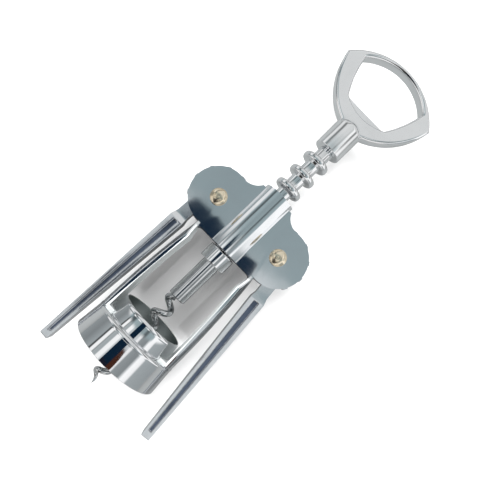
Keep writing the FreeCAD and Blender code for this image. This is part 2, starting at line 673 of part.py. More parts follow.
def handle():
    """Flat ring with a cap lifter in its hole, on a barrel that takes the spindle."""
    body = doc.addObject("PartDesign::Body", "handle")
    over_top = arc_over("handle_half_width", "handle_top - handle_corner_level")
    sides = "handle_side_curve * handle_half_width"
    outer = outline(body, "handle_outline", "XZ_Plane", [
        ("-barrel_flat_half_width", "barrel_top"),
        ("barrel_flat_half_width", "barrel_top"),
        ("handle_foot_width", "handle_foot_level"),
        ("handle_half_width", "handle_corner_level"),
        ("-handle_half_width", "handle_corner_level"),
        ("-handle_foot_width", "handle_foot_level"),
    ], {2: (sides, -1), 3: (over_top, -1), 4: (sides, -1)})
    ring = pad(body, "handle_ring", outer, "handle_depth")
    doc.recompute()
    bevel = body.newObject("PartDesign::Chamfer", "handle_bevels")
    edges = [f"Edge{number}" for number, edge in enumerate(ring.Shape.Edges, start=1)
             if edge.BoundBox.YLength < 1e-3 and edge.BoundBox.ZLength > 1e-3]
    bevel.Base = (ring, edges)
    bevel.setExpression("Size", in_sheet("handle_bevel"))
    body.Tip = bevel
    over_hole = arc_over("hole_half_width", "hole_top - hole_corner_level")
    hole = outline(body, "hole_outline", "XZ_Plane", [
        ("-lifter_half_width", "lifter_edge"),
        ("lifter_half_width", "lifter_edge"),
        ("hole_half_width", "hole_corner_level"),
        ("-hole_half_width", "hole_corner_level"),
    ], {1: ("hole_side_radius", -1), 2: (over_hole, -1), 3: ("hole_side_radius", -1)})
    pocket(body, "handle_hole", hole, "2 * handle_depth")
    under = arc_over("lifter_half_width", "lifter_edge - lifter_root")
    sink(body, "lifter", [
        ("-lifter_half_width", "lifter_edge"),
        ("lifter_half_width", "lifter_edge"),
        ("lifter_half_width", "lifter_edge + handle_bevel"),
        ("-lifter_half_width", "lifter_edge + handle_bevel"),
    ], {0: (under, -1)}, "handle_depth", "( handle_depth - lifter_thickness ) / 2")
    foot = "rack_top + end_gap"
    section = outline(body, "barrel_section", "XZ_Plane", [
        ("0", foot),
        ("barrel_radius", foot),
        ("barrel_radius", "barrel_top"),
        ("handle_depth / 2", "barrel_blend_top"),
        ("0", "barrel_blend_top"),
    ], {2: ("barrel_round", -1)})
    barrel = body.newObject("PartDesign::Revolution", "barrel")
    barrel.Profile = section
    barrel.ReferenceAxis = (section, ["V_Axis"])
    barrel.Angle = 360
    body.Tip = barrel
    socket = circle(body, "socket_circle", "XY_Plane", ("0", "0"), "spindle_radius")
    socket.setExpression("AttachmentOffset.Base.z", in_sheet(foot))
    drilled = body.newObject("PartDesign::Pocket", "socket")
    drilled.Profile = socket
    drilled.Reversed = True
    drilled.setExpression("Length", in_sheet("spindle_grip"))
    body.Tip = drilled
    return body


# ---- Build, check and export ----------------------------------------------------------------

front = front_frame_shell()
nodes = [
    front,
    back_frame_shell(front),
    bell_skirt(),
    neck_sleeve(),
    pivot_rivet("left_pivot_rivet", "-"),
    pivot_rivet("right_pivot_rivet", ""),
    lever("left_lever", -1, "left_rest_angle"),
    lever("right_lever", 1, "right_rest_angle"),
    ringed_rack(),
    spindle(),
    worm(),
    handle(),
]
doc.recompute()

for item in doc.Objects:
    if "Invalid" in item.State or "Error" in item.State:
        raise RuntimeError(f"{item.Name} did not compute: {item.State}")

os.makedirs("parts", exist_ok=True)
for node in nodes:
    if node.Shape.isNull() or not node.Shape.isValid():
        raise RuntimeError(f"{node.Label} has no sound shape")
    if len(node.Shape.Solids) != 1:
        raise RuntimeError(f"{node.Label} has {len(node.Shape.Solids)} solids")
    node.Shape.exportStep(f"parts/{node.Label}.step")
    bounds = node.Shape.BoundBox
    print(f"{node.Label}: {node.Shape.Volume:.0f} mm3, z {bounds.ZMin:.1f} to {bounds.ZMax:.1f}")
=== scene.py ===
import math
import bpy
from mathutils import Matrix, Vector


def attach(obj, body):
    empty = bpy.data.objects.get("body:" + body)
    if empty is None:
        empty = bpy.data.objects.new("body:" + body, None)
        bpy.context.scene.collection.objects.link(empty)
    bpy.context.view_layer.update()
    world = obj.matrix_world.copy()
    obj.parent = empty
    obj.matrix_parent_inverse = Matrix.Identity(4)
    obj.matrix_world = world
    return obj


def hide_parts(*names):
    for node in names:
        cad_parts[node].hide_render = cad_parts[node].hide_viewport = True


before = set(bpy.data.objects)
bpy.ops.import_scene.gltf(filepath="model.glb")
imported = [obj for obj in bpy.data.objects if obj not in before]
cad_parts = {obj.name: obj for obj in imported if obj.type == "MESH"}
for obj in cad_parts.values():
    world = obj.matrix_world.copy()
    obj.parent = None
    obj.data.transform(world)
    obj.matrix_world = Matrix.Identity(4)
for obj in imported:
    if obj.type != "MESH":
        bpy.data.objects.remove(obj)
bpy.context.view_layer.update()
mm = 0.001
mergeGap = 0.002            # in mm; points closer than this are made one
print("frame loaded:", len(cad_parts), "nodes")


# small helpers for working in edit mode

def deselectAll():
    if bpy.context.object and bpy.context.object.mode == "EDIT":
        bpy.ops.object.mode_set(mode="OBJECT")
    bpy.ops.object.select_all(action="DESELECT")


def makeActive(piece):
    deselectAll()
    piece.select_set(True)
    bpy.context.view_layer.objects.active = piece


def edit(piece):
    makeActive(piece)
    bpy.ops.object.mode_set(mode="EDIT")


def leaveEdit():
    bpy.ops.object.mode_set(mode="OBJECT")


def bakePlace(piece):
    makeActive(piece)
    bpy.ops.object.transform_apply(location=True, rotation=True, scale=True)


def addModifier(piece, kind, **settings):
    modifier = piece.modifiers.new(kind.title(), kind)
    for name, value in settings.items():
        setattr(modifier, name, value)
    makeActive(piece)
    bpy.ops.object.modifier_apply(modifier=modifier.name)


def softenEdges(piece, width, segments, sharperThan):
    addModifier(piece, "BEVEL", width=width * mm, segments=segments, limit_method="ANGLE",
                angle_limit=math.radians(sharperThan), use_clamp_overlap=True, miter_outer="MITER_ARC",
                harden_normals=False)


def smoothShade(piece, angle=40):
    makeActive(piece)
    bpy.ops.object.shade_smooth_by_angle(angle=math.radians(angle))
    addModifier(piece, "WEIGHTED_NORMAL", keep_sharp=True, weight=60)


# in edit mode
def mergeAll(gap):
    bpy.ops.mesh.select_all(action="SELECT")
    bpy.ops.mesh.remove_doubles(threshold=gap * mm)
    bpy.ops.mesh.normals_make_consistent(inside=False)


# one ring of edges is pushed out step by step, as on a lathe; the profile is (radius, height)
def turnProfile(name, profile, sides=144, closed=False):
    deselectAll()
    radius, height = profile[0]
    bpy.ops.mesh.primitive_circle_add(vertices=sides, radius=radius * mm, location=(0, 0, height * mm))
    piece = bpy.context.object
    piece.name = name
    bakePlace(piece)
    edit(piece)
    bpy.ops.mesh.select_all(action="SELECT")
    for nextRadius, nextHeight in profile[1:]:
        bpy.ops.mesh.extrude_edges_move(
            TRANSFORM_OT_translate={"value": (0, 0, (nextHeight - height) * mm)})
        scale = nextRadius / radius
        bpy.ops.transform.resize(value=(scale, scale, 1), center_override=(0, 0, nextHeight * mm))
        radius, height = nextRadius, nextHeight
    bpy.ops.mesh.select_all(action="SELECT")
    bpy.ops.mesh.remove_doubles(threshold=mergeGap * mm)
    if not closed:
        bpy.ops.mesh.fill_holes(sides=0)
    bpy.ops.mesh.select_all(action="SELECT")
    bpy.ops.mesh.normals_make_consistent(inside=False)
    leaveEdit()
    return piece


# points on a round from one profile point to another, bulging to one side
def roundPoints(start, end, bulge, steps=8):
    (r0, z0), (r1, z1) = start, end
    length = math.hypot(r1 - r0, z1 - z0)
    radius = (length * length / 4 + bulge * bulge) / (2 * abs(bulge))
    across = Vector(((z1 - z0) / length, -(r1 - r0) / length))
    if bulge < 0:
        across = -across
    centre = Vector(((r0 + r1) / 2, (z0 + z1) / 2)) - across * (radius - abs(bulge))
    first = math.atan2(z0 - centre.y, r0 - centre.x)
    last = math.atan2(z1 - centre.y, r1 - centre.x)
    turn = (last - first + math.pi) % (2 * math.pi) - math.pi
    points = []
    for step in range(steps + 1):
        angle = first + turn * step / steps
        points.append((centre.x + radius * math.cos(angle), centre.y + radius * math.sin(angle)))
    return points


# shader groups shared by the finishes

def newGroup(name, inputs, outputs):
    group = bpy.data.node_groups.new(name, "ShaderNodeTree")
    for socketName, kind, value in inputs:
        socket = group.interface.new_socket(socketName, in_out="INPUT", socket_type=kind)
        socket.default_value = value
    for socketName, kind in outputs:
        group.interface.new_socket(socketName, in_out="OUTPUT", socket_type=kind)
    return group, group.nodes.new("NodeGroupInput"), group.nodes.new("NodeGroupOutput")


def addNode(tree, kind, x, y, **values):
    node = tree.nodes.new(kind)
    node.location = (x, y)
    for name, value in values.items():
        if name in node.inputs:
            node.inputs[name].default_value = value
        else:
            setattr(node, name, value)
    return node


# slow waves left by polishing, with a trace of fine grain, as a height
def makePolishGroup():
    group, start, end = newGroup("polish waves", [
        ("Wave Scale", "NodeSocketFloat", 60.0),
        ("Grain Scale", "NodeSocketFloat", 2500.0),
        ("Grain Share", "NodeSocketFloat", 0.05),
    ], [("Height", "NodeSocketFloat")])
    place = addNode(group, "ShaderNodeTexCoord", -800, 0)
    waves = addNode(group, "ShaderNodeTexNoise", -500, 120, Detail=1.0, Roughness=0.4)
    grain = addNode(group, "ShaderNodeTexNoise", -500, -160, Detail=3.0, Roughness=0.6)
    scaled = addNode(group, "ShaderNodeMath", -250, -160, operation="MULTIPLY")
    total = addNode(group, "ShaderNodeMath", -50, 0, operation="ADD")
    link = group.links.new
    link(place.outputs["Object"], waves.inputs["Vector"])
    link(place.outputs["Object"], grain.inputs["Vector"])
    link(start.outputs["Wave Scale"], waves.inputs["Scale"])
    link(start.outputs["Grain Scale"], grain.inputs["Scale"])
    link(grain.outputs["Fac"], scaled.inputs[0])
    link(start.outputs["Grain Share"], scaled.inputs[1])
    link(waves.outputs["Fac"], total.inputs[0])
    link(scaled.outputs[0], total.inputs[1])
    link(total.outputs[0], end.inputs["Height"])
    return group


# faint smears and handling marks, as a roughness, and a slight tint that follows them
def makeWearGroup():
    group, start, end = newGroup("handling marks", [
        ("Lowest", "NodeSocketFloat", 0.04),
        ("Highest", "NodeSocketFloat", 0.16),
        ("Smear Scale", "NodeSocketFloat", 90.0),
        ("Clean", "NodeSocketColor", (0.9, 0.91, 0.92, 1)),
        ("Dull", "NodeSocketColor", (0.8, 0.81, 0.82, 1)),
    ], [("Roughness", "NodeSocketFloat"), ("Color", "NodeSocketColor")])
    place = addNode(group, "ShaderNodeTexCoord", -900, 0)
    smear = addNode(group, "ShaderNodeTexNoise", -650, 100, Detail=4.0, Roughness=0.55, Distortion=0.6)
    shape = addNode(group, "ShaderNodeMapRange", -400, 100)
    shape.inputs["From Min"].default_value = 0.45
    shape.inputs["From Max"].default_value = 0.75
    rough = addNode(group, "ShaderNodeMapRange", -150, 150)
    tint = addNode(group, "ShaderNodeMix", -150, -150, data_type="RGBA")
    link = group.links.new
    link(place.outputs["Object"], smear.inputs["Vector"])
    link(start.outputs["Smear Scale"], smear.inputs["Scale"])
    link(smear.outputs["Fac"], shape.inputs["Value"])
    link(shape.outputs["Result"], rough.inputs["Value"])
    link(start.outputs["Lowest"], rough.inputs["To Min"])
    link(start.outputs["Highest"], rough.inputs["To Max"])
    link(shape.outputs["Result"], tint.inputs["Factor"])
    link(start.outputs["Clean"], tint.inputs[6])
    link(start.outputs["Dull"], tint.inputs[7])
    link(rough.outputs["Result"], end.inputs["Roughness"])
    link(tint.outputs[2], end.inputs["Color"])
    return group


polishGroup = makePolishGroup()
wearGroup = makeWearGroup()


def metalFinish(name, clean, dull, lowest, highest, smearScale, waveScale, waveHeight, grainShare):
    material = bpy.data.materials.new(name)
    material.use_nodes = True
    tree = material.node_tree
    shader = tree.nodes["Principled BSDF"]
    shader.inputs["Metallic"].default_value = 1.0
    wear = addNode(tree, "ShaderNodeGroup", -500, 100, node_tree=wearGroup)
    wear.inputs["Lowest"].default_value = lowest
    wear.inputs["Highest"].default_value = highest
    wear.inputs["Smear Scale"].default_value = smearScale
    wear.inputs["Clean"].default_value = (*clean, 1)
    wear.inputs["Dull"].default_value = (*dull, 1)
    waves = addNode(tree, "ShaderNodeGroup", -700, -250, node_tree=polishGroup)
    waves.inputs["Wave Scale"].default_value = waveScale
    waves.inputs["Grain Share"].default_value = grainShare
    bump = addNode(tree, "ShaderNodeBump", -300, -250)
    bump.inputs["Distance"].default_value = waveHeight * mm
    bump.inputs["Strength"].default_value = 1.0
    tree.links.new(wear.outputs["Color"], shader.inputs["Base Color"])
    tree.links.new(wear.outputs["Roughness"], shader.inputs["Roughness"])
    tree.links.new(waves.outputs["Height"], bump.inputs["Height"])
    tree.links.new(bump.outputs["Normal"], shader.inputs["Normal"])
    return material


# 1 inside a cone about Z, 0 outside it
def makeInsideGroup():
    group, start, end = newGroup("inside a cone", [
        ("Radius", "NodeSocketFloat", 0.01),
        ("Lean", "NodeSocketFloat", 0.0),
        ("Top", "NodeSocketFloat", 1.0),
    ], [("Mask", "NodeSocketFloat")])
    place = addNode(group, "ShaderNodeTexCoord", -900, 0)
    parts = addNode(group, "ShaderNodeSeparateXYZ", -700, 0)
    flat = addNode(group, "ShaderNodeCombineXYZ", -500, 100)
    length = addNode(group, "ShaderNodeVectorMath", -300, 100, operation="LENGTH")
    rise = addNode(group, "ShaderNodeMath", -500, -150, operation="MULTIPLY")
    total = addNode(group, "ShaderNodeMath", -100, 0, operation="ADD")
    below = addNode(group, "ShaderNodeMath", 100, 0, operation="LESS_THAN")
    link = group.links.new
    link(place.outputs["Object"], parts.inputs[0])
    link(parts.outputs["X"], flat.inputs["X"])
    link(parts.outputs["Y"], flat.inputs["Y"])
    link(flat.outputs[0], length.inputs[0])
    link(parts.outputs["Z"], rise.inputs[0])
    link(start.outputs["Lean"], rise.inputs[1])
    link(length.outputs["Value"], total.inputs[0])
    link(rise.outputs[0], total.inputs[1])
    link(total.outputs[0], below.inputs[0])
    link(start.outputs["Radius"], below.inputs[1])
    under = addNode(group, "ShaderNodeMath", 100, -200, operation="LESS_THAN")
    both = addNode(group, "ShaderNodeMath", 300, 0, operation="MULTIPLY")
    link(parts.outputs["Z"], under.inputs[0])
    link(start.outputs["Top"], under.inputs[1])
    link(below.outputs[0], both.inputs[0])
    link(under.outputs[0], both.inputs[1])
    link(both.outputs[0], end.inputs["Mask"])
    return group


insideGroup = makeInsideGroup()


# a turned piece whose inside was left unpolished
def dullInside(material, radius, lean, top, colour, roughness, metallic=1.0):
    tree = material.node_tree
    shader = tree.nodes["Principled BSDF"]
    mask = addNode(tree, "ShaderNodeGroup", -500, 450, node_tree=insideGroup)
    mask.inputs["Radius"].default_value = radius * mm
    mask.inputs["Lean"].default_value = lean
    mask.inputs["Top"].default_value = top * mm
    metal = addNode(tree, "ShaderNodeMapRange", -200, 600)
    metal.inputs["To Min"].default_value = 1.0
    metal.inputs["To Max"].default_value = metallic
    tree.links.new(mask.outputs["Mask"], metal.inputs["Value"])
    tree.links.new(metal.outputs["Result"], shader.inputs["Metallic"])
    tint = addNode(tree, "ShaderNodeMix", -200, 350, data_type="RGBA")
    rough = addNode(tree, "ShaderNodeMix", -200, 100, data_type="FLOAT")
    # a Mix node's sockets differ by data type: (node, shader socket, first input, output, value inside)
    mixes = [(tint, "Base Color", 6, 2, (*colour, 1)), (rough, "Roughness", 2, 0, roughness)]
    for mix, name, first, result, value in mixes:
        tree.links.new(shader.inputs[name].links[0].from_socket, mix.inputs[first])
        mix.inputs[first + 1].default_value = value
        tree.links.new(mask.outputs["Mask"], mix.inputs[0])
        tree.links.new(mix.outputs[result], shader.inputs[name])


frameChrome = metalFinish("pressed sheet chrome", clean=(0.86, 0.88, 0.90), dull=(0.80, 0.82, 0.84),
                          lowest=0.07, highest=0.14, smearScale=70,
                          waveScale=70, waveHeight=0.12, grainShare=0.01)
dullInside(frameChrome, radius=21.51, lean=0.0676, top=64,
           colour=(0.62, 0.65, 0.65), roughness=0.30, metallic=0.10)
bellChrome = metalFinish("bell chrome", clean=(0.88, 0.89, 0.90), dull=(0.82, 0.83, 0.85),
                         lowest=0.03, highest=0.08, smearScale=60,
                         waveScale=60, waveHeight=0.05, grainShare=0.004)
leverChrome = metalFinish("cast lever chrome", clean=(0.86, 0.87, 0.89), dull=(0.78, 0.79, 0.81),
                          lowest=0.10, highest=0.20, smearScale=90,
                          waveScale=90, waveHeight=0.20, grainShare=0.02)
rackChrome = metalFinish("rack chrome", clean=(0.86, 0.87, 0.88), dull=(0.78, 0.79, 0.80),
                         lowest=0.06, highest=0.14, smearScale=120,
                         waveScale=90, waveHeight=0.05, grainShare=0.01)
sleeveChrome = metalFinish("sleeve chrome, dull inside", clean=(0.88, 0.89, 0.90), dull=(0.82, 0.83, 0.85),
                           lowest=0.03, highest=0.08, smearScale=60,
                           waveScale=60, waveHeight=0.05, grainShare=0.004)
dullInside(sleeveChrome, radius=18.88, lean=0.171, top=30, colour=(0.36, 0.40, 0.40), roughness=0.42)
screwSteel = metalFinish("screw steel", clean=(0.66, 0.67, 0.68), dull=(0.52, 0.53, 0.54),
                         lowest=0.08, highest=0.18, smearScale=140,
                         waveScale=120, waveHeight=0.05, grainShare=0.02)
handleChrome = metalFinish("cast handle chrome", clean=(0.90, 0.91, 0.92), dull=(0.85, 0.86, 0.87),
                           lowest=0.06, highest=0.14, smearScale=60,
                           waveScale=90, waveHeight=0.30, grainShare=0.01)
rivetBrass = metalFinish("rivet brass", clean=(0.90, 0.80, 0.62), dull=(0.74, 0.60, 0.40),
                         lowest=0.20, highest=0.30, smearScale=400,
                         waveScale=300, waveHeight=0.003, grainShare=0.05)
# painted shade: the lever recess floors get a dark navy colour that stands in for the shade in the recess,
# with a rougher finish
leverRecessShade = metalFinish("lever recess, painted shade", clean=(0.14, 0.17, 0.23), dull=(0.09, 0.11, 0.15),
                          lowest=0.14, highest=0.30, smearScale=90,
                          waveScale=90, waveHeight=0.10, grainShare=0.05)
print("finishes made")


def finishPiece(piece, material, slot, body, *nodes):
    piece.data.materials.clear()
    piece.data.materials.append(material)
    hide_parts(*nodes)
    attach(piece, body)


# bell skirt: a spun cup with a rolled shoulder and a flat lip

bellSizes = {
    "mouth": 22.1, "side": 20.9, "sideTop": 12.0, "lip": 19.7, "top": 14.2, "hole": 18.1, "wall": 1.2,
    "shoulderBulge": 0.55, "insideBulge": -0.3, "edge": 0.28, "sides": 180,
}


def makeBellSkirt():
    d = bellSizes
    wall = d["wall"]
    profile = [(d["mouth"] - wall, 0), (d["mouth"], 0)]
    profile += roundPoints((d["side"], d["sideTop"]), (d["lip"], d["top"]), d["shoulderBulge"], steps=10)
    profile += [(d["hole"], d["top"]), (d["hole"], d["top"] - wall)]
    profile += roundPoints((d["lip"] - wall, d["top"] - wall), (d["side"] - wall, d["sideTop"] - wall / 2),
                           d["insideBulge"], steps=6)
    profile += [(d["mouth"] - wall, 0)]
    piece = turnProfile("bell_skirt_spun", profile, d["sides"], closed=True)
    softenEdges(piece, d["edge"], segments=3, sharperThan=50)
    smoothShade(piece)
    finishPiece(piece, bellChrome, "bell_chrome", "frame", "bell_skirt")


# neck sleeve: the narrow ring above the bell, with the bottle's seat below it

sleeveSizes = {
    "foot": 16.9, "footLevel": 14.2, "topRadius": 15.5, "top": 22.4, "wall": 0.9,
    "rimFlare": 0.25, "rimDepth": 1.8, "rimRound": 0.45, "rimBulge": 0.22,
    "insideEase": 0.1, "insideDrop": 0.3,
    "seatHole": 13.0, "seatOuter": 19.7, "seatLevel": 9.0, "seatThickness": 1.2, "edge": 0.2, "sides": 180,
}


def makeNeckSleeve():
    d = sleeveSizes
    seatTop = d["seatLevel"] + d["seatThickness"]
    profile = [(d["seatHole"], d["seatLevel"]), (d["seatOuter"], d["seatLevel"]), (d["seatOuter"], seatTop)]
    profile += [(d["foot"], seatTop), (d["foot"], d["footLevel"])]
    profile += roundPoints((d["topRadius"] + d["rimFlare"], d["top"] - d["rimDepth"]),
                           (d["topRadius"] - d["rimRound"], d["top"]), d["rimBulge"], steps=8)
    profile += [
        (d["topRadius"] - d["wall"] + d["insideEase"], d["top"]),
        (d["topRadius"] - d["wall"], d["top"] - d["insideDrop"]),
        (d["foot"] - d["wall"], d["footLevel"]),
        (d["foot"] - d["wall"], seatTop),
        (d["seatHole"], seatTop),
        (d["seatHole"], d["seatLevel"]),
    ]
    piece = turnProfile("neck_sleeve_drawn", profile, d["sides"], closed=True)
    softenEdges(piece, d["edge"], segments=3, sharperThan=50)
    smoothShade(piece)
    finishPiece(piece, sleeveChrome, "bell_chrome", "frame", "neck_sleeve")


# ringed rack: collar, core and seven evenly spaced rings

rackSizes = {
    "rod": 2.0, "ring": 6.4, "core": 3.35, "top": 126.2, "sides": 96,
    "collarLow": 57.0, "collarHigh": 64.0, "collarFoot": 0.5, "collarRound": 0.6, "collarBulge": 0.18,
    "collarSlope": 0.5, "rings": 7, "lowestRing": 68.896, "pitch": 8.151, "thickness": 3.5,
    "fillet": 0.3, "faceDraft": 0.3, "rimRound": 0.8, "rimInset": 0.55, "rimBulge": 0.22,
}


def makeRingedRack():
    d = rackSizes
    ring, core, fillet, inset = d["ring"], d["core"], d["fillet"], d["rimInset"]
    profile = [(d["rod"], d["collarLow"]), (ring - d["collarFoot"], d["collarLow"])]
    profile += roundPoints((ring - d["collarFoot"], d["collarLow"]),
                           (ring, d["collarLow"] + d["collarRound"]), d["collarBulge"], steps=4)
    profile += roundPoints((ring, d["collarHigh"] - d["collarRound"]),
                           (ring - d["collarRound"], d["collarHigh"]), d["collarBulge"], steps=4)
    profile += [(core, d["collarHigh"] + d["collarSlope"])]
    for number in range(d["rings"]):
        low = d["lowestRing"] + number * d["pitch"]
        high = low + d["thickness"]
        face = ring - d["rimRound"]
        profile += [(core, low - fillet), (core + fillet, low)]
        profile += roundPoints((face, low + d["faceDraft"]), (ring, low + inset + d["rimRound"]),
                               d["rimBulge"], steps=5)
        profile += roundPoints((ring, high - inset - d["rimRound"]), (face, high - d["faceDraft"]),
                               d["rimBulge"], steps=5)
        profile += [(core + fillet, high), (core, high + fillet)]
    profile += [(core, d["top"]), (d["rod"], d["top"]), (d["rod"], d["collarLow"])]
    piece = turnProfile("ringed_rack_turned", profile, d["sides"], closed=True)
    smoothShade(piece, 50)
    finishPiece(piece, rackChrome, "rack_chrome", "rack", "ringed_rack")


# spindle: plain shank with an eased foot, the rod inside the rack, and its grip in the handle

spindleSizes = {
    "shank": 4.1, "low": 36.0, "high": 56.9, "footRound": 0.5, "footBulge": 0.14,
    "rod": 1.94, "rodTop": 126.3, "grip": 2.0, "gripTop": 137.3, "pole": 0.02, "sides": 72,
}


def makeSpindle():
    d = spindleSizes
    profile = [(d["pole"], d["low"]), (d["shank"] - d["footRound"], d["low"])]
    profile += roundPoints((d["shank"] - d["footRound"], d["low"]), (d["shank"], d["low"] + d["footRound"]),
                           d["footBulge"], steps=4)
    profile += [(d["shank"], d["high"]), (d["rod"], d["high"]), (d["rod"], d["rodTop"])]
    profile += [(d["grip"], d["rodTop"]), (d["grip"], d["gripTop"]), (d["pole"], d["gripTop"])]
    piece = turnProfile("spindle_turned", profile, d["sides"])
    smoothShade(piece, 50)
    finishPiece(piece, screwSteel, "screw_steel", "screw", "spindle")


# worm: a bent wire along one smooth curve, drawn out to a point

wormSizes = {
    "coil": 2.8, "wire": 1.4, "pitch": 9.0, "lastTurn": -6.6, "top": 36.0, "tip": -16.1, "tipOffset": 0.8,
    "evenDrop": 0.75, "thinning": 0.93, "stepsPerTurn": 16,
}


def wormPath():
    d = wormSizes
    points = []
    turns = (d["top"] - d["lastTurn"]) / d["pitch"]
    steps = int(turns * d["stepsPerTurn"])
    for step in range(steps, 0, -1):
        turn = turns * step / steps
        angle = 2 * math.pi * turn
        points.append((d["coil"] * math.cos(angle), d["coil"] * math.sin(angle),
                       d["lastTurn"] + d["pitch"] * turn, 1.0))
    for step in range(d["stepsPerTurn"] + 1):
        share = step / d["stepsPerTurn"]
        angle = -2 * math.pi * share
        out = d["coil"] + (d["tipOffset"] - d["coil"]) * share
        drop = d["evenDrop"] * share + (1 - d["evenDrop"]) * share ** 3
        up = d["lastTurn"] + (d["tip"] - d["lastTurn"]) * drop
        points.append((out * math.cos(angle), out * math.sin(angle), up, 1 - d["thinning"] * share ** 3))
    return points


def makeWorm():
    d = wormSizes
    curve = bpy.data.curves.new("worm_wire", "CURVE")
    curve.dimensions = "3D"
    curve.bevel_depth = d["wire"] * mm
    curve.bevel_resolution = 6
    curve.use_fill_caps = True
    curve.resolution_u = 4
    spline = curve.splines.new("NURBS")
    path = wormPath()
    spline.points.add(len(path) - 1)
    for point, (x, y, z, thin) in zip(spline.points, path):
        point.co = (x * mm, y * mm, z * mm, 1)
        point.radius = thin
    spline.order_u = 4
    spline.use_endpoint_u = True
    piece = bpy.data.objects.new("worm_bent", curve)
    bpy.context.scene.collection.objects.link(piece)
    makeActive(piece)
    bpy.ops.object.convert(target="MESH")
    piece = bpy.context.object
    edit(piece)
    bpy.ops.mesh.select_all(action="SELECT")
    bpy.ops.mesh.bisect(plane_co=(0, 0, d["top"] * mm), plane_no=(0, 0, 1), clear_outer=True, use_fill=True)
    mergeAll(mergeGap)
    leaveEdit()
    smoothShade(piece, 50)
    finishPiece(piece, screwSteel, "screw_steel", "screw", "worm")


# rivets: domed heads outside the ears

rivetSizes = {
    "shank": 2.0, "head": 3.8, "dome": 1.9, "domeBulge": 0.62, "rim": 0.35, "underRound": 0.15,
    "face": 4.3, "across": 18.0, "level": 79.0, "pole": 0.03, "sides": 64,
}


def makeRivet(name, side, node):
    d = rivetSizes
    half = [(d["shank"], d["face"]), (d["head"] - d["underRound"], d["face"]),
            (d["head"], d["face"] + d["underRound"])]
    half += roundPoints((d["head"], d["face"] + d["rim"]), (d["pole"], d["face"] + d["dome"]),
                        d["domeBulge"], steps=12)
    lower = [(radius, -height) for radius, height in reversed(half)]
    piece = turnProfile(name, lower + half, d["sides"])
    piece.rotation_euler = (math.pi / 2, 0, 0)
    piece.location = (side * d["across"] * mm, 0, d["level"] * mm)
    bakePlace(piece)
    smoothShade(piece, 50)
    finishPiece(piece, rivetBrass, "rivet_brass", "frame", node)


# pressed shells and cast levers

copyMergeGap = 0.001        # in mm
flatWithin = 0.4            # in degrees


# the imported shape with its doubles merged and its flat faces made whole
def cleanCopy(nodeName, pieceName):
    piece = bpy.data.objects.new(pieceName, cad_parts[nodeName].data.copy())
    bpy.context.scene.collection.objects.link(piece)
    edit(piece)
    bpy.ops.mesh.select_all(action="SELECT")
    bpy.ops.mesh.remove_doubles(threshold=copyMergeGap * mm)
    bpy.ops.mesh.dissolve_limited(angle_limit=math.radians(flatWithin))
    leaveEdit()
    return piece


# a wide round only on the sharp edges that lie below a level
def roundBelow(piece, level, width, sharperThan=30):
    mesh = piece.data
    weights = mesh.attributes.new("bevel_weight_edge", "FLOAT", "EDGE")
    sides = {}
    for face in mesh.polygons:
        for key in face.edge_keys:
            sides.setdefault(key, []).append(face.normal.copy())
    for edge in mesh.edges:
        normals = sides[edge.key]
        angle = normals[0].angle(normals[1], 0) if len(normals) == 2 else 0
        top = max(mesh.vertices[number].co.z for number in edge.vertices)
        rounded = angle > math.radians(sharperThan) and top < level * mm
        weights.data[edge.index].value = 1.0 if rounded else 0.0
    addModifier(piece, "BEVEL", width=width * mm, segments=4, limit_method="WEIGHT",
                use_clamp_overlap=True, miter_outer="MITER_ARC")


shellSizes = {"edge": 0.5, "sharperThan": 32}


def makeShells():
    for side in ("front", "back"):
        node = side + "_frame_shell"
        piece = cleanCopy(node, side + "_shell_pressed")
        softenEdges(piece, shellSizes["edge"], segments=3, sharperThan=shellSizes["sharperThan"])
        smoothShade(piece)
        finishPiece(piece, frameChrome, "frame_chrome", "frame", node)


leverSizes = {"armTop": 60.5, "armEdge": 0.75, "gearEdge": 0.25, "floorDepth": 3.0, "floorFacing": 0.95}


def makeLevers():
    d = leverSizes
    for node in ("left_lever", "right_lever"):
        piece = cleanCopy(node, node + "_cast")
        roundBelow(piece, d["armTop"], d["armEdge"])
        softenEdges(piece, d["gearEdge"], segments=2, sharperThan=40)
        smoothShade(piece)
        finishPiece(piece, leverChrome, "lever_chrome", node, node)
        # the flat recess floors below the arm top take the painted-shade material
        piece.data.materials.append(leverRecessShade)
        for face in piece.data.polygons:
            flat = abs(face.normal.y) > d["floorFacing"] and abs(face.center.y) < d["floorDepth"] * mm
            if flat and face.center.z < d["armTop"] * mm:
                face.material_index = 1


# handle: a flat ring with a bottle lifter across the foot of its hole, on a turned barrel

handleSizes = {
    "edge": 1.3, "depth": 6.4, "foot": [(5.5, 139.0), (6.4, 140.0)], "corner": (24.8, 162.8), "top": 174.6,
    "sideRadius": 30.5, "holeFoot": (10.9, 149.4), "holeCorner": (17.1, 165.7), "holeTop": 172.6,
    "holeSideRadius": 45.0, "root": 146.5, "mergeGap": 0.003,
    "lifter": 2.2, "lifterEdge": 0.35, "lifterWider": 1.2, "lifterDeeper": 1.6,
    "barrel": 6.4, "barrelFoot": 126.3, "barrelTop": 139.0, "barrelEdge": 0.35, "barrelSides": 96,
    "blendTop": 142.6, "blendBulge": 0.65, "socket": 2.0, "socketTop": 137.3, "pole": 0.05,
}


def sagitta(start, end, radius):
    half = math.dist(start, end) / 2
    return radius - math.sqrt(radius * radius - half * half)


def mirrored(points):
    return [(-across, up) for across, up in reversed(points)]


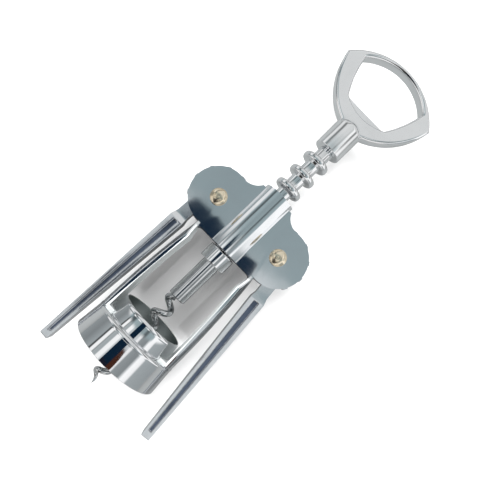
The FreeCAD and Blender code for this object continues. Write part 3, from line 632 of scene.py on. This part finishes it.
# flat closed outlines in x and z, filled between them and rounded along every edge
def roundedPlate(name, outlines, depth, edge):
    data = bpy.data.curves.new(name, "CURVE")
    data.dimensions = "2D"
    data.fill_mode = "BOTH"
    data.extrude = (depth / 2 - edge) * mm
    data.bevel_depth = edge * mm
    data.bevel_resolution = 4
    data.offset = -edge * mm
    for outline in outlines:
        spline = data.splines.new("POLY")
        spline.points.add(len(outline) - 1)
        for point, (across, up) in zip(spline.points, outline):
            point.co = (across * mm, up * mm, 0, 1)
        spline.use_cyclic_u = True
    plate = bpy.data.objects.new(name, data)
    bpy.context.scene.collection.objects.link(plate)
    plate.rotation_euler = (math.pi / 2, 0, 0)
    makeActive(plate)
    bpy.ops.object.convert(target="MESH")
    plate = bpy.context.object
    bakePlace(plate)
    edit(plate)
    mergeAll(handleSizes["mergeGap"])
    leaveEdit()
    return plate


def makeHandle():
    d = handleSizes
    foot, corner = d["foot"], d["corner"]
    side = roundPoints(foot[1], corner, sagitta(foot[1], corner, d["sideRadius"]), steps=24)
    over = roundPoints(corner, (-corner[0], corner[1]), d["top"] - corner[1], steps=48)
    outer = [foot[0]] + side + over[1:-1] + mirrored(side) + [(-foot[0][0], foot[0][1])]
    low, high = d["holeFoot"], d["holeCorner"]
    root = roundPoints((-low[0], low[1]), low, low[1] - d["root"], steps=24)
    wall = roundPoints(low, high, sagitta(low, high, d["holeSideRadius"]), steps=12)
    crown = roundPoints(high, (-high[0], high[1]), d["holeTop"] - high[1], steps=36)
    hole = root[:-1] + wall + crown[1:-1] + mirrored(wall)[:-1]
    ring = roundedPlate("handle_ring", [outer, hole], d["depth"], d["edge"])
    lifterHalf = low[0] + d["lifterWider"]
    under = roundPoints((-lifterHalf, low[1]), (lifterHalf, low[1]),
                        low[1] - d["root"] + d["lifterDeeper"], steps=24)
    lifter = roundedPlate("handle_lifter", [under], d["lifter"], d["lifterEdge"])
    profile = [(d["socket"], d["barrelFoot"]), (d["barrel"], d["barrelFoot"]), (d["barrel"], d["barrelTop"])]
    profile += roundPoints((d["barrel"], d["barrelTop"]), (d["depth"] / 2, d["blendTop"]),
                           d["blendBulge"], steps=8)
    profile += [(d["pole"], d["blendTop"]), (d["pole"], d["socketTop"]), (d["socket"], d["socketTop"]),
                (d["socket"], d["barrelFoot"])]
    barrel = turnProfile("handle_barrel", profile, d["barrelSides"], closed=True)
    softenEdges(barrel, d["barrelEdge"], segments=3, sharperThan=50)
    makeActive(ring)
    lifter.select_set(True)
    barrel.select_set(True)
    bpy.ops.object.join()
    piece = bpy.context.object
    piece.name = "handle_cast"
    smoothShade(piece)
    finishPiece(piece, handleChrome, "handle_chrome", "screw", "handle")


makeBellSkirt()
makeNeckSleeve()
makeRingedRack()
makeSpindle()
makeWorm()
makeRivet("left_rivet_domed", -1, "left_pivot_rivet")
makeRivet("right_rivet_domed", 1, "right_pivot_rivet")
makeShells()
makeLevers()
makeHandle()
print("pieces made")


# stage: a pale table that the corkscrew lies on, a soft room around it, and cards for its polish to show

def newMaterial(name):
    material = bpy.data.materials.new(name.replace("_", " "))
    material.use_nodes = True
    return material, material.node_tree


tableSizes = {
    "size": 900, "level": 23.5, "centre": 60, "colour": (0.9, 0.9, 0.9, 1), "roughness": 0.9,
    # painted shade: reflections see the table in a much darker grey than the camera does, standing in for
    # the table lying in the tool's shade
    "shadedColourInPolish": (0.26, 0.27, 0.27, 1),        # calmer where the polish shows it
}


def makeTable():
    d = tableSizes
    deselectAll()
    bpy.ops.mesh.primitive_plane_add(size=d["size"] * mm)
    table = bpy.context.object
    table.name = "table_top"
    table.rotation_euler = (math.pi / 2, 0, 0)
    table.location = (0, d["level"] * mm, d["centre"] * mm)
    bakePlace(table)
    material, tree = newMaterial("pale table")
    shader = tree.nodes["Principled BSDF"]
    shader.inputs["Base Color"].default_value = d["colour"]
    shader.inputs["Roughness"].default_value = d["roughness"]
    shadedInPolish = addNode(tree, "ShaderNodeBsdfDiffuse", 0, -150)
    shadedInPolish.inputs["Color"].default_value = d["shadedColourInPolish"]
    clear = addNode(tree, "ShaderNodeBsdfTransparent", 0, -300)
    side = addNode(tree, "ShaderNodeNewGeometry", 0, 500)
    rays = addNode(tree, "ShaderNodeLightPath", 0, 900)
    front = addNode(tree, "ShaderNodeMixShader", 250, 0)
    mix = addNode(tree, "ShaderNodeMixShader", 450, 0)
    output = tree.nodes["Material Output"]
    output.location = (700, 0)
    # the camera sees the pale table; glossy rays see the painted-shade grey instead
    tree.links.new(rays.outputs["Is Glossy Ray"], front.inputs[0])
    tree.links.new(shader.outputs[0], front.inputs[1])
    tree.links.new(shadedInPolish.outputs[0], front.inputs[2])
    tree.links.new(side.outputs["Backfacing"], mix.inputs[0])
    tree.links.new(front.outputs[0], mix.inputs[1])
    tree.links.new(clear.outputs[0], mix.inputs[2])
    tree.links.new(mix.outputs[0], output.inputs["Surface"])
    table.data.materials.append(material)


# flat cards over the corkscrew, seen only in its polish: (name, corners in x and z, colour)
cards = [
    ("dark_card", [(-60, -20), (5, -20), (5, 60), (24, 68), (22, 86), (6, 84), (-4, 84), (-20, 88),
                   (-40, 91), (-54, 88), (-58, 72), (-50, 60), (-50, 12), (-60, 4)], (0.004, 0.016, 0.036)),
    ("brown_card", [(5, -34), (36, -34), (46, -20), (42, -12), (30, -5), (5, -4)], (0.06, 0.02, 0.012)),
    ("dark_card_low", [(-60, -60), (5, -60), (5, -20), (-60, -20)], (0.010, 0.012, 0.022)),
]
cardLevel = -205


def makeCards():
    for name, corners, colour in cards:
        deselectAll()
        bpy.ops.mesh.primitive_circle_add(vertices=len(corners), fill_type="NGON")
        card = bpy.context.object
        card.name = name
        for vertex, (x, z) in zip(card.data.vertices, corners):
            vertex.co = (x * mm, cardLevel * mm, z * mm)
        material, tree = newMaterial(name)
        shader = tree.nodes["Principled BSDF"]
        shader.inputs["Base Color"].default_value = (0, 0, 0, 1)
        shader.inputs["Roughness"].default_value = 1.0
        shader.inputs["Specular IOR Level"].default_value = 0.0
        shader.inputs["Emission Color"].default_value = (*colour, 1)
        shader.inputs["Emission Strength"].default_value = 1.0
        card.data.materials.append(material)
        card.visible_camera = False
        card.visible_diffuse = False
        card.visible_shadow = False


# sheets of gauze that hold some light off the table inside the frame; they are not seen themselves:
# (name, centre across and up, width and height, share of the light let through)
gauzes = [
    ("gauze_window", (-2.5, 45), (38, 46), 0.46),
    ("gauze_left", (-15.4, 47), (4.6, 44), 0.42),
    ("gauze_right", (13.4, 47), (8, 44), 0.58),
]
gauzeLevel = 19             # the first sheet, in mm behind the middle; each next one lies 1 mm further


def makeGauzes():
    for number, (name, (across, up), (width, height), share) in enumerate(gauzes):
        deselectAll()
        bpy.ops.mesh.primitive_plane_add(size=1)
        gauze = bpy.context.object
        gauze.name = name
        gauze.scale = (width * mm, height * mm, 1)
        gauze.rotation_euler = (math.pi / 2, 0, 0)
        gauze.location = (across * mm, (gauzeLevel + number) * mm, up * mm)
        bakePlace(gauze)
        material, tree = newMaterial(name)
        clear = addNode(tree, "ShaderNodeBsdfTransparent", 0, -300)
        clear.inputs["Color"].default_value = (share, share, share, 1)
        tree.links.new(clear.outputs[0], tree.nodes["Material Output"].inputs["Surface"])
        gauze.data.materials.append(material)
        gauze.visible_camera = False
        gauze.visible_glossy = False


def addLamp(name, size, power, place, aim):
    lamp = bpy.data.lights.new(name, "AREA")
    lamp.shape = "RECTANGLE"
    lamp.size, lamp.size_y = size[0] * mm, size[1] * mm
    lamp.energy = power
    lampObject = bpy.data.objects.new(name, lamp)
    bpy.context.scene.collection.objects.link(lampObject)
    lampObject.location = Vector(place) * mm
    towards = (Vector(aim) - Vector(place)).normalized()
    lampObject.rotation_euler = towards.to_track_quat("-Z", "Y").to_euler()
    lampObject.visible_camera = False
    lampObject.visible_glossy = False


# surroundings as soft panels by bearing, in four bands of height, seen only in reflections;
# each band has a tint and its stops, which are (bearing in degrees, brightness)
roomBands = {
    "deep": ((1.0, 0.92, 0.85), [
        (-180, 0.30), (-95, 0.32), (-80, 0.80), (-46, 0.95), (-34, 0.06), (-18, 0.03), (16, 0.03),
        (30, 0.10), (40, 0.95), (80, 0.85), (95, 0.32), (180, 0.30),
    ]),
    "low": ((0.91, 0.99, 1.02), [
        (-180, 0.30), (-100, 0.34), (-75, 0.26), (-56, 0.40), (-53, 0.05), (-51, 0.05), (-49.5, 1.0),
        (-43, 1.0), (-41.5, 0.12), (-40, 0.45), (-32, 0.42), (-30, 1.0), (-22, 1.0), (-19, 0.60),
        (-2, 0.66), (7, 0.66), (11, 0.95), (15, 0.95), (18, 0.34), (36, 0.28), (40, 0.75),
        (43, 1.1), (54, 1.0), (58, 0.42), (92, 0.36), (105, 0.4), (180, 0.35),
    ]),
    "middle": ((0.80, 0.98, 1.03), [
        (-180, 0.4), (-142, 0.3), (-130, 0.75), (-94, 0.70), (-85, 0.20), (-79, 0.90), (-63, 0.90),
        (-55, 0.45), (-45, 0.12), (-38, 0.12), (-31, 0.44), (-22, 0.42), (-8, 0.35), (10, 0.38),
        (15, 0.15), (20, 0.15), (25, 0.40), (42, 0.44), (46, 1.1), (120, 1.1), (133, 0.3), (180, 0.4),
    ]),
    "high": ((0.97, 1.0, 1.0), [
        (-180, 0.26), (-105, 0.26), (-92, 0.26), (-80, 0.85), (-66, 0.80), (-57, 0.20), (-48, 0.22),
        (-40, 0.74), (-20, 0.76), (-12, 0.71), (10, 0.71), (24, 0.58), (32, 1.0), (44, 1.0),
        (52, 0.25), (60, 0.25), (68, 0.90), (80, 0.90), (92, 0.26), (180, 0.26),
    ]),
}


# where each band takes over from the one below it, in degrees of height
bandJoins = [("low", -34, -26), ("middle", 2.5, 5.5), ("high", 14, 24)]

neutralShade = 0.9          # panels this bright stay white
fullTintShade = 0.5         # panels this dark take the whole tint


def makeRoom():
    world = bpy.data.worlds.new("soft room")
    bpy.context.scene.world = world
    world.use_nodes = True
    tree = world.node_tree
    tree.nodes.clear()
    link = tree.links.new
    place = addNode(tree, "ShaderNodeTexCoord", -1200, 0)
    parts = addNode(tree, "ShaderNodeSeparateXYZ", -1000, 0)
    towards = addNode(tree, "ShaderNodeMath", -800, -100, operation="MULTIPLY")
    towards.inputs[1].default_value = -1
    bearing = addNode(tree, "ShaderNodeMath", -600, 0, operation="ARCTAN2")
    around = addNode(tree, "ShaderNodeMapRange", -400, 0)
    around.inputs["From Min"].default_value = -math.pi
    around.inputs["From Max"].default_value = math.pi
    link(place.outputs["Generated"], parts.inputs[0])
    link(parts.outputs["Y"], towards.inputs[0])
    link(parts.outputs["X"], bearing.inputs[0])
    link(towards.outputs[0], bearing.inputs[1])
    link(bearing.outputs[0], around.inputs["Value"])
    bands = {}
    for number, (name, (tint, stops)) in enumerate(roomBands.items()):
        ramp = addNode(tree, "ShaderNodeValToRGB", -150, 300 - 300 * number)
        elements = ramp.color_ramp.elements
        while len(elements) < len(stops):
            elements.new(0.5)
        for element, stop in zip(elements, stops):
            element.position = (stop[0] + 180) / 360
        for element, stop in zip(elements, stops):
            shade = stop[1]
            depth = min(1, max(0, (neutralShade - shade) / (neutralShade - fullTintShade)))
            element.color = (*(shade * (1 + (part - 1) * depth) for part in tint), 1)
        link(around.outputs["Result"], ramp.inputs["Fac"])
        bands[name] = ramp.outputs["Color"]
    colour = bands["deep"]
    for number, (name, lowest, highest) in enumerate(bandJoins):
        fade = addNode(tree, "ShaderNodeMapRange", -400, 500 + 300 * number, interpolation_type="SMOOTHSTEP")
        fade.inputs["From Min"].default_value = math.sin(math.radians(lowest))
        fade.inputs["From Max"].default_value = math.sin(math.radians(highest))
        mix = addNode(tree, "ShaderNodeMix", 150 + 200 * number, 100, data_type="RGBA")
        link(parts.outputs["Z"], fade.inputs["Value"])
        link(fade.outputs["Result"], mix.inputs["Factor"])
        link(colour, mix.inputs[6])
        link(bands[name], mix.inputs[7])
        colour = mix.outputs[2]
    panels = addNode(tree, "ShaderNodeBackground", 750, 100)
    plain = addNode(tree, "ShaderNodeBackground", 750, -100)
    plain.inputs["Color"].default_value = (1, 1, 1, 1)
    rays = addNode(tree, "ShaderNodeLightPath", 750, 400)
    choose = addNode(tree, "ShaderNodeMixShader", 1000, 0)
    output = addNode(tree, "ShaderNodeOutputWorld", 1200, 0)
    link(colour, panels.inputs["Color"])
    link(rays.outputs["Is Glossy Ray"], choose.inputs[0])
    link(plain.outputs[0], choose.inputs[1])
    link(panels.outputs[0], choose.inputs[2])
    link(choose.outputs[0], output.inputs["Surface"])


# the lens and sensor in mm, the place in mm, the roll in degrees
cameraSizes = {
    "lens": 34.09, "sensor": 36, "place": (6.48, -196.43, 56.96), "roll": 45.91,
    "shiftAcross": 0.0384, "shiftUp": 0.0722, "nearest": 5,
}


def makeCamera():
    d = cameraSizes
    data = bpy.data.cameras.new("camera")
    data.lens = d["lens"]
    data.sensor_width = d["sensor"]
    data.shift_x = d["shiftAcross"]
    data.shift_y = d["shiftUp"]
    data.clip_start = d["nearest"] * mm
    camera = bpy.data.objects.new("camera", data)
    bpy.context.scene.collection.objects.link(camera)
    roll = math.radians(d["roll"])
    right = Vector((math.cos(roll), 0, math.sin(roll)))
    up = Vector((-math.sin(roll), 0, math.cos(roll)))
    back = Vector((0, -1, 0))
    turn = Matrix((right, up, back)).transposed().to_4x4()
    camera.matrix_world = Matrix.Translation(Vector(d["place"]) * mm) @ turn
    bpy.context.scene.camera = camera


makeTable()
makeCards()
makeGauzes()
makeRoom()
addLamp("key softbox", size=(200, 200), power=1.7, place=(-90, -380, 170), aim=(0, 0, 60))
addLamp("fill softbox", size=(500, 500), power=0.8, place=(100, -450, 20), aim=(0, 0, 60))
bpy.context.scene.view_settings.view_transform = "Standard"
makeCamera()
print("stage set")
